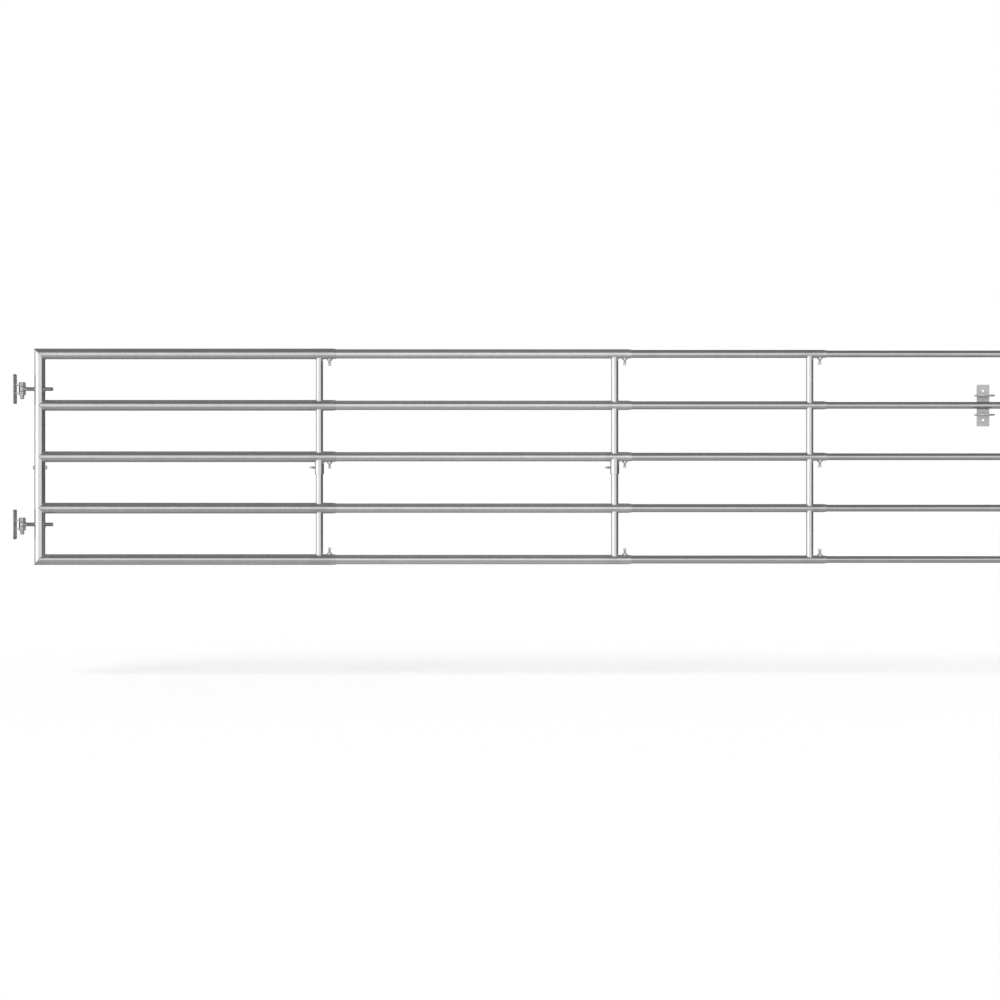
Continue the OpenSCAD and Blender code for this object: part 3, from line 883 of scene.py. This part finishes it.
for side in HINGES:
    node = f"{side}_eye_bolt"
    low, high = (Vector(c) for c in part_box(node))
    pin_at = Vector((low.x + EYE_R, 0, eye_z[side]))
    eye = lathe_ring(PIN_BORE, EYE_R, (high.z - low.z) / 2, ease_out=2.2 * MM, ease_in=1.0 * MM)
    neck = placed(loft("neck", [ring(r * MM, x * MM) for x, r in NECK], eye_zinc), TO_RIGHT)
    rod = thread(length_mm=(high.x - pin_at.x - ROD_FROM) / MM, **M16)
    rod = placed(rod, Matrix.Translation((ROD_FROM, 0, 0)) @ TO_RIGHT)
    mesh = placed(joined(node + "_forged", [eye, neck, rod], eye_zinc), Matrix.Translation(pin_at))
    stand_for(node + "_forged", mesh, node)
    print(node, "pin at", [round(v / MM, 1) for v in pin_at], "faces", len(mesh.polygons))

# %% [markdown]
# ## Eased edges
# Sheared and sawn plate never keeps a knife edge after it has been dipped: the zinc rounds it. The packed
# plates, lugs and pins have the right shape, but a Bevel modifier would trip over their triangles. So each
# is copied, its triangles are merged into flat faces, and its sharp edges are bevelled by a fraction of a
# millimetre.

# %% Bevel the copies
EASED = {"hinge_plate": 0.9, "hinge_lugs": 0.6, "hinge_pin": 0.8}
EASED_NODES = {f"{side}_{part}": width for side in HINGES for part, width in EASED.items()}
EASED_NODES |= {"keep_plate": 0.9, "keep_lugs": 0.9}
BEVEL_OVER = math.radians(40)
FLAT_UNDER = math.radians(1)
MERGE = 0.002 * MM


def eased_copy(node, width):
    shape = bmesh.new()
    shape.from_mesh(nodes[node].data)
    bmesh.ops.remove_doubles(shape, verts=shape.verts, dist=MERGE)
    bmesh.ops.dissolve_limit(shape, angle_limit=FLAT_UNDER, verts=shape.verts, edges=shape.edges)
    sharp = [e for e in shape.edges if len(e.link_faces) == 2 and e.calc_face_angle() > BEVEL_OVER]
    bmesh.ops.bevel(shape, geom=sharp, offset=width * MM, segments=3, profile=0.5, affect="EDGES",
                    clamp_overlap=True)
    bmesh.ops.triangulate(shape, faces=[f for f in shape.faces if len(f.verts) > 4])
    mesh = bpy.data.meshes.new(node + "_eased")
    shape.to_mesh(mesh)
    shape.free()
    return finish_mesh(mesh, finish_for(node))


for node, width in EASED_NODES.items():
    piece = stand_for(node + "_eased", eased_copy(node, width), node)
    print(piece.name, len(piece.data.polygons), "faces")

# %% [markdown]
# ## Weld beads
# Where a tube ends on another, it is welded all round. A bead is a ridge with fine ripples, where the pool
# of metal froze step by step. The seams are curves that follow from the tubes: where two round tubes meet,
# the height of the seam is the circle of one tube read at the depth of the other. Python gives the points
# of each seam, and a Geometry Nodes tree sweeps a rippled bead along them. The ripple's noise has a fixed
# seed.

# %% The bead tree
BEAD_R, FINE_BEAD_R = 1.5 * MM, 1.0 * MM
RIPPLE = 2.0 * MM
POINTS_A_RIPPLE = 3.3
SEED = 4.0
WAVE, UNSTEADY, UNSTEADY_SCALE = 0.10, 0.5, 160.0
BEAD_SIDES = 8

bead_tree, base, (path, bead_r, ripple, seed) = new_tree(
    "weld_bead", Bead_Radius=(FLOAT, BEAD_R), Ripple=(FLOAT, RIPPLE), Seed=(FLOAT, SEED))
seam = base.node("GeometryNodeMeshToCurve", None, {"Mesh": path})
seam = base.node("GeometryNodeResampleCurve", {"mode": "LENGTH"}, {
    "Curve": seam, "Length": ripple / POINTS_A_RIPPLE})
run = base.node("GeometryNodeSplineParameter", out="Length")
wave = (run / ripple * math.tau).math("SINE")
noise = base.node("ShaderNodeTexNoise", {"noise_dimensions": "4D"}, {
    "W": seed, "Scale": UNSTEADY_SCALE}) - 0.5
swell = 1 + wave * WAVE + noise * UNSTEADY
profile = base.node("GeometryNodeCurvePrimitiveCircle", None, {"Resolution": BEAD_SIDES, "Radius": bead_r})
bead = base.node("GeometryNodeCurveToMesh", None, {
    "Curve": seam, "Profile Curve": profile, "Scale": swell, "Fill Caps": True})
close_tree(base, bead, weld_zinc)
print("bead tree has", len(bead_tree.nodes), "nodes")

# %% Shapes of seams
SEAM_POINTS = 96
SEAM_TURNS = np.linspace(0, math.tau, SEAM_POINTS, endpoint=False)
COS, SIN = np.cos(SEAM_TURNS), np.sin(SEAM_TURNS)
NUT_FOOT = 1.2 * MM


def on_rail(x, rail_z, upright_r, rail_r, side):
    """An upright's end on a rail: side is 1 on top of the rail, -1 under it."""
    depth = upright_r * SIN
    stands_out = np.sqrt(rail_r ** 2 - depth ** 2)
    return np.stack([x + upright_r * COS, depth, rail_z + side * stands_out], 1), True


def on_stile(x, z, round_r, met, side):
    """A round end on a stile of radius met: side is 1 to the right of the stile, -1 to its left."""
    depth = round_r * SIN
    stands_out = np.sqrt(np.maximum(met ** 2 - depth ** 2, 0))
    return np.stack([x + side * stands_out, depth, z + round_r * COS], 1), True


def mitre(x, rail_z, rail_r, slope):
    """The slanting seam of a corner: slope is 1 where it rises to the right, -1 where it falls."""
    return np.stack([x + rail_r * COS, rail_r * SIN, rail_z + slope * rail_r * COS], 1), True


def round_nut(place, seat_r, way):
    """The foot of a weld nut on its tube."""
    corner = hexagon(NUT_FLATS + NUT_FOOT)
    depth = corner * np.sin(TURNS)
    foot = np.stack([corner * np.cos(TURNS), depth, np.sqrt(seat_r ** 2 - depth ** 2)], 1)
    turn = Matrix.Translation(place) @ way
    return [turn @ Vector(p) for p in foot], True


def straight(start, end, count=24):
    return [tuple(Vector(start).lerp(Vector(end), i / (count - 1))) for i in range(count)], False


print("a round seam has", SEAM_POINTS, "points")

# %% Seams of the leaf
seams = {f"{s}_section": [] for s in SECTIONS}
nut_seams = {f"{s}_section": [] for s in CLAMPED}
for s in CLAMPED:
    spot, found = brace_x[s], seams[f"{s}_section"]
    for r in ROWS[:-1]:
        sleeved = r == CLAMPS["middle"] and s in SLEEVED
        found.append(on_rail(spot, row_z[r], sleeve_r if sleeved else brace_r, tube_r[s], -1))
    for r in ROWS[1:]:
        found.append(on_rail(spot, row_z[r], brace_r, tube_r[s], 1))
    nut_seams[f"{s}_section"] += [round_nut(bolt_place[s, c], tube_r[s], way)
                                  for c, way in CLAMP_WAY.items()]
for s, x, side in (("first", stile_x, 1), ("end", end_x, -1)):
    found = seams[f"{s}_section"]
    found += [on_stile(x, row_z[r], tube_r[s], tube_r[s], side) for r in ROWS[1:-1]]
    found += [mitre(x, row_z[1], tube_r[s], -side), mitre(x, row_z[5], tube_r[s], side)]
nut_seams["first_section"] += [on_stile(stile_x, eye_z[side], BUSH_R, stile_r, way)
                               for side in HINGES for way in (1, -1)]
for kind, group in (("seams", seams), ("nut and bush feet", nut_seams)):
    print(kind, {body: len(found) for body, found in group.items()})

# %% Seams of the lugs on their plates
SEAM_INSET = 1 * MM
LUG_FACES = (10 * MM, 5 * MM)
KEEP_LUG_T = 5 * MM

seams["hinge_brackets"], seams["keep"] = [], []
for side in HINGES:
    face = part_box(f"{side}_hinge_plate")[1][0]
    low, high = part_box(f"{side}_hinge_lugs")
    centre, half = middle(f"{side}_hinge_plate").z, (high[2] - low[2]) / 2
    for level in (centre + way * (half - inset) for way in (1, -1) for inset in LUG_FACES):
        seams["hinge_brackets"].append(straight(
            (face, low[1] + SEAM_INSET, level), (face, high[1] - SEAM_INSET, level)))
plate_low, plate_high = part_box("keep_plate")
bottom, top = (corner[2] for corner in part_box("keep_lugs"))
for level in (bottom, bottom + KEEP_LUG_T, top - KEEP_LUG_T, top):
    seams["keep"].append(straight(
        (plate_low[0] + SEAM_INSET, plate_low[1], level),
        (plate_high[0] - SEAM_INSET, plate_low[1], level)))
print("lug seams", len(seams["hinge_brackets"]), len(seams["keep"]))

# %% Sweep the beads
BOX_LOW, BOX_HIGH = (np.array(c) for c in cad_box)


def seam_mesh(loops):
    """Edges through each seam's points; a loop is (points, closed)."""
    points, edges = [], []
    for line, closed in loops:
        start, count = len(points), len(line)
        points += [tuple(p) for p in line]
        edges += [(start + i, start + i + 1) for i in range(count - 1)]
        if closed:
            edges.append((start + count - 1, start))
    return plain_mesh("seams", points, [], edges)


def lay_beads(name, body, loops, radius):
    """Beads for one body. They are dressed flush where they would stand out of the gate's own box."""
    mesh = run_tree(bead_tree, seam_mesh(loops), Bead_Radius=radius, Ripple=RIPPLE, Seed=SEED)
    points = np.empty(3 * len(mesh.vertices))
    mesh.vertices.foreach_get("co", points)
    mesh.vertices.foreach_set("co", np.clip(points.reshape(-1, 3), BOX_LOW, BOX_HIGH).ravel())
    mesh.update()
    piece = new_object(name, finish_mesh(mesh, weld_zinc))
    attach(piece, body)
    print(name, len(loops), "beads,", len(mesh.polygons), "faces")


for body, loops in seams.items():
    lay_beads(body + "_welds", body, loops, BEAD_R)
for body, loops in nut_seams.items():
    lay_beads(body + "_nut_welds", body, loops, FINE_BEAD_R)

# %% [markdown]
# Looks never change the gate's size. The imported model's box and the finished one's are compared, and the
# largest growth is printed.

# %% Compare the boxes
seen_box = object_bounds()
below = max(a - b for a, b in zip(cad_box[0], seen_box[0]))
above = max(b - a for a, b in zip(cad_box[1], seen_box[1]))
print("largest growth", round(max(below, above) / MM, 2), "mm")
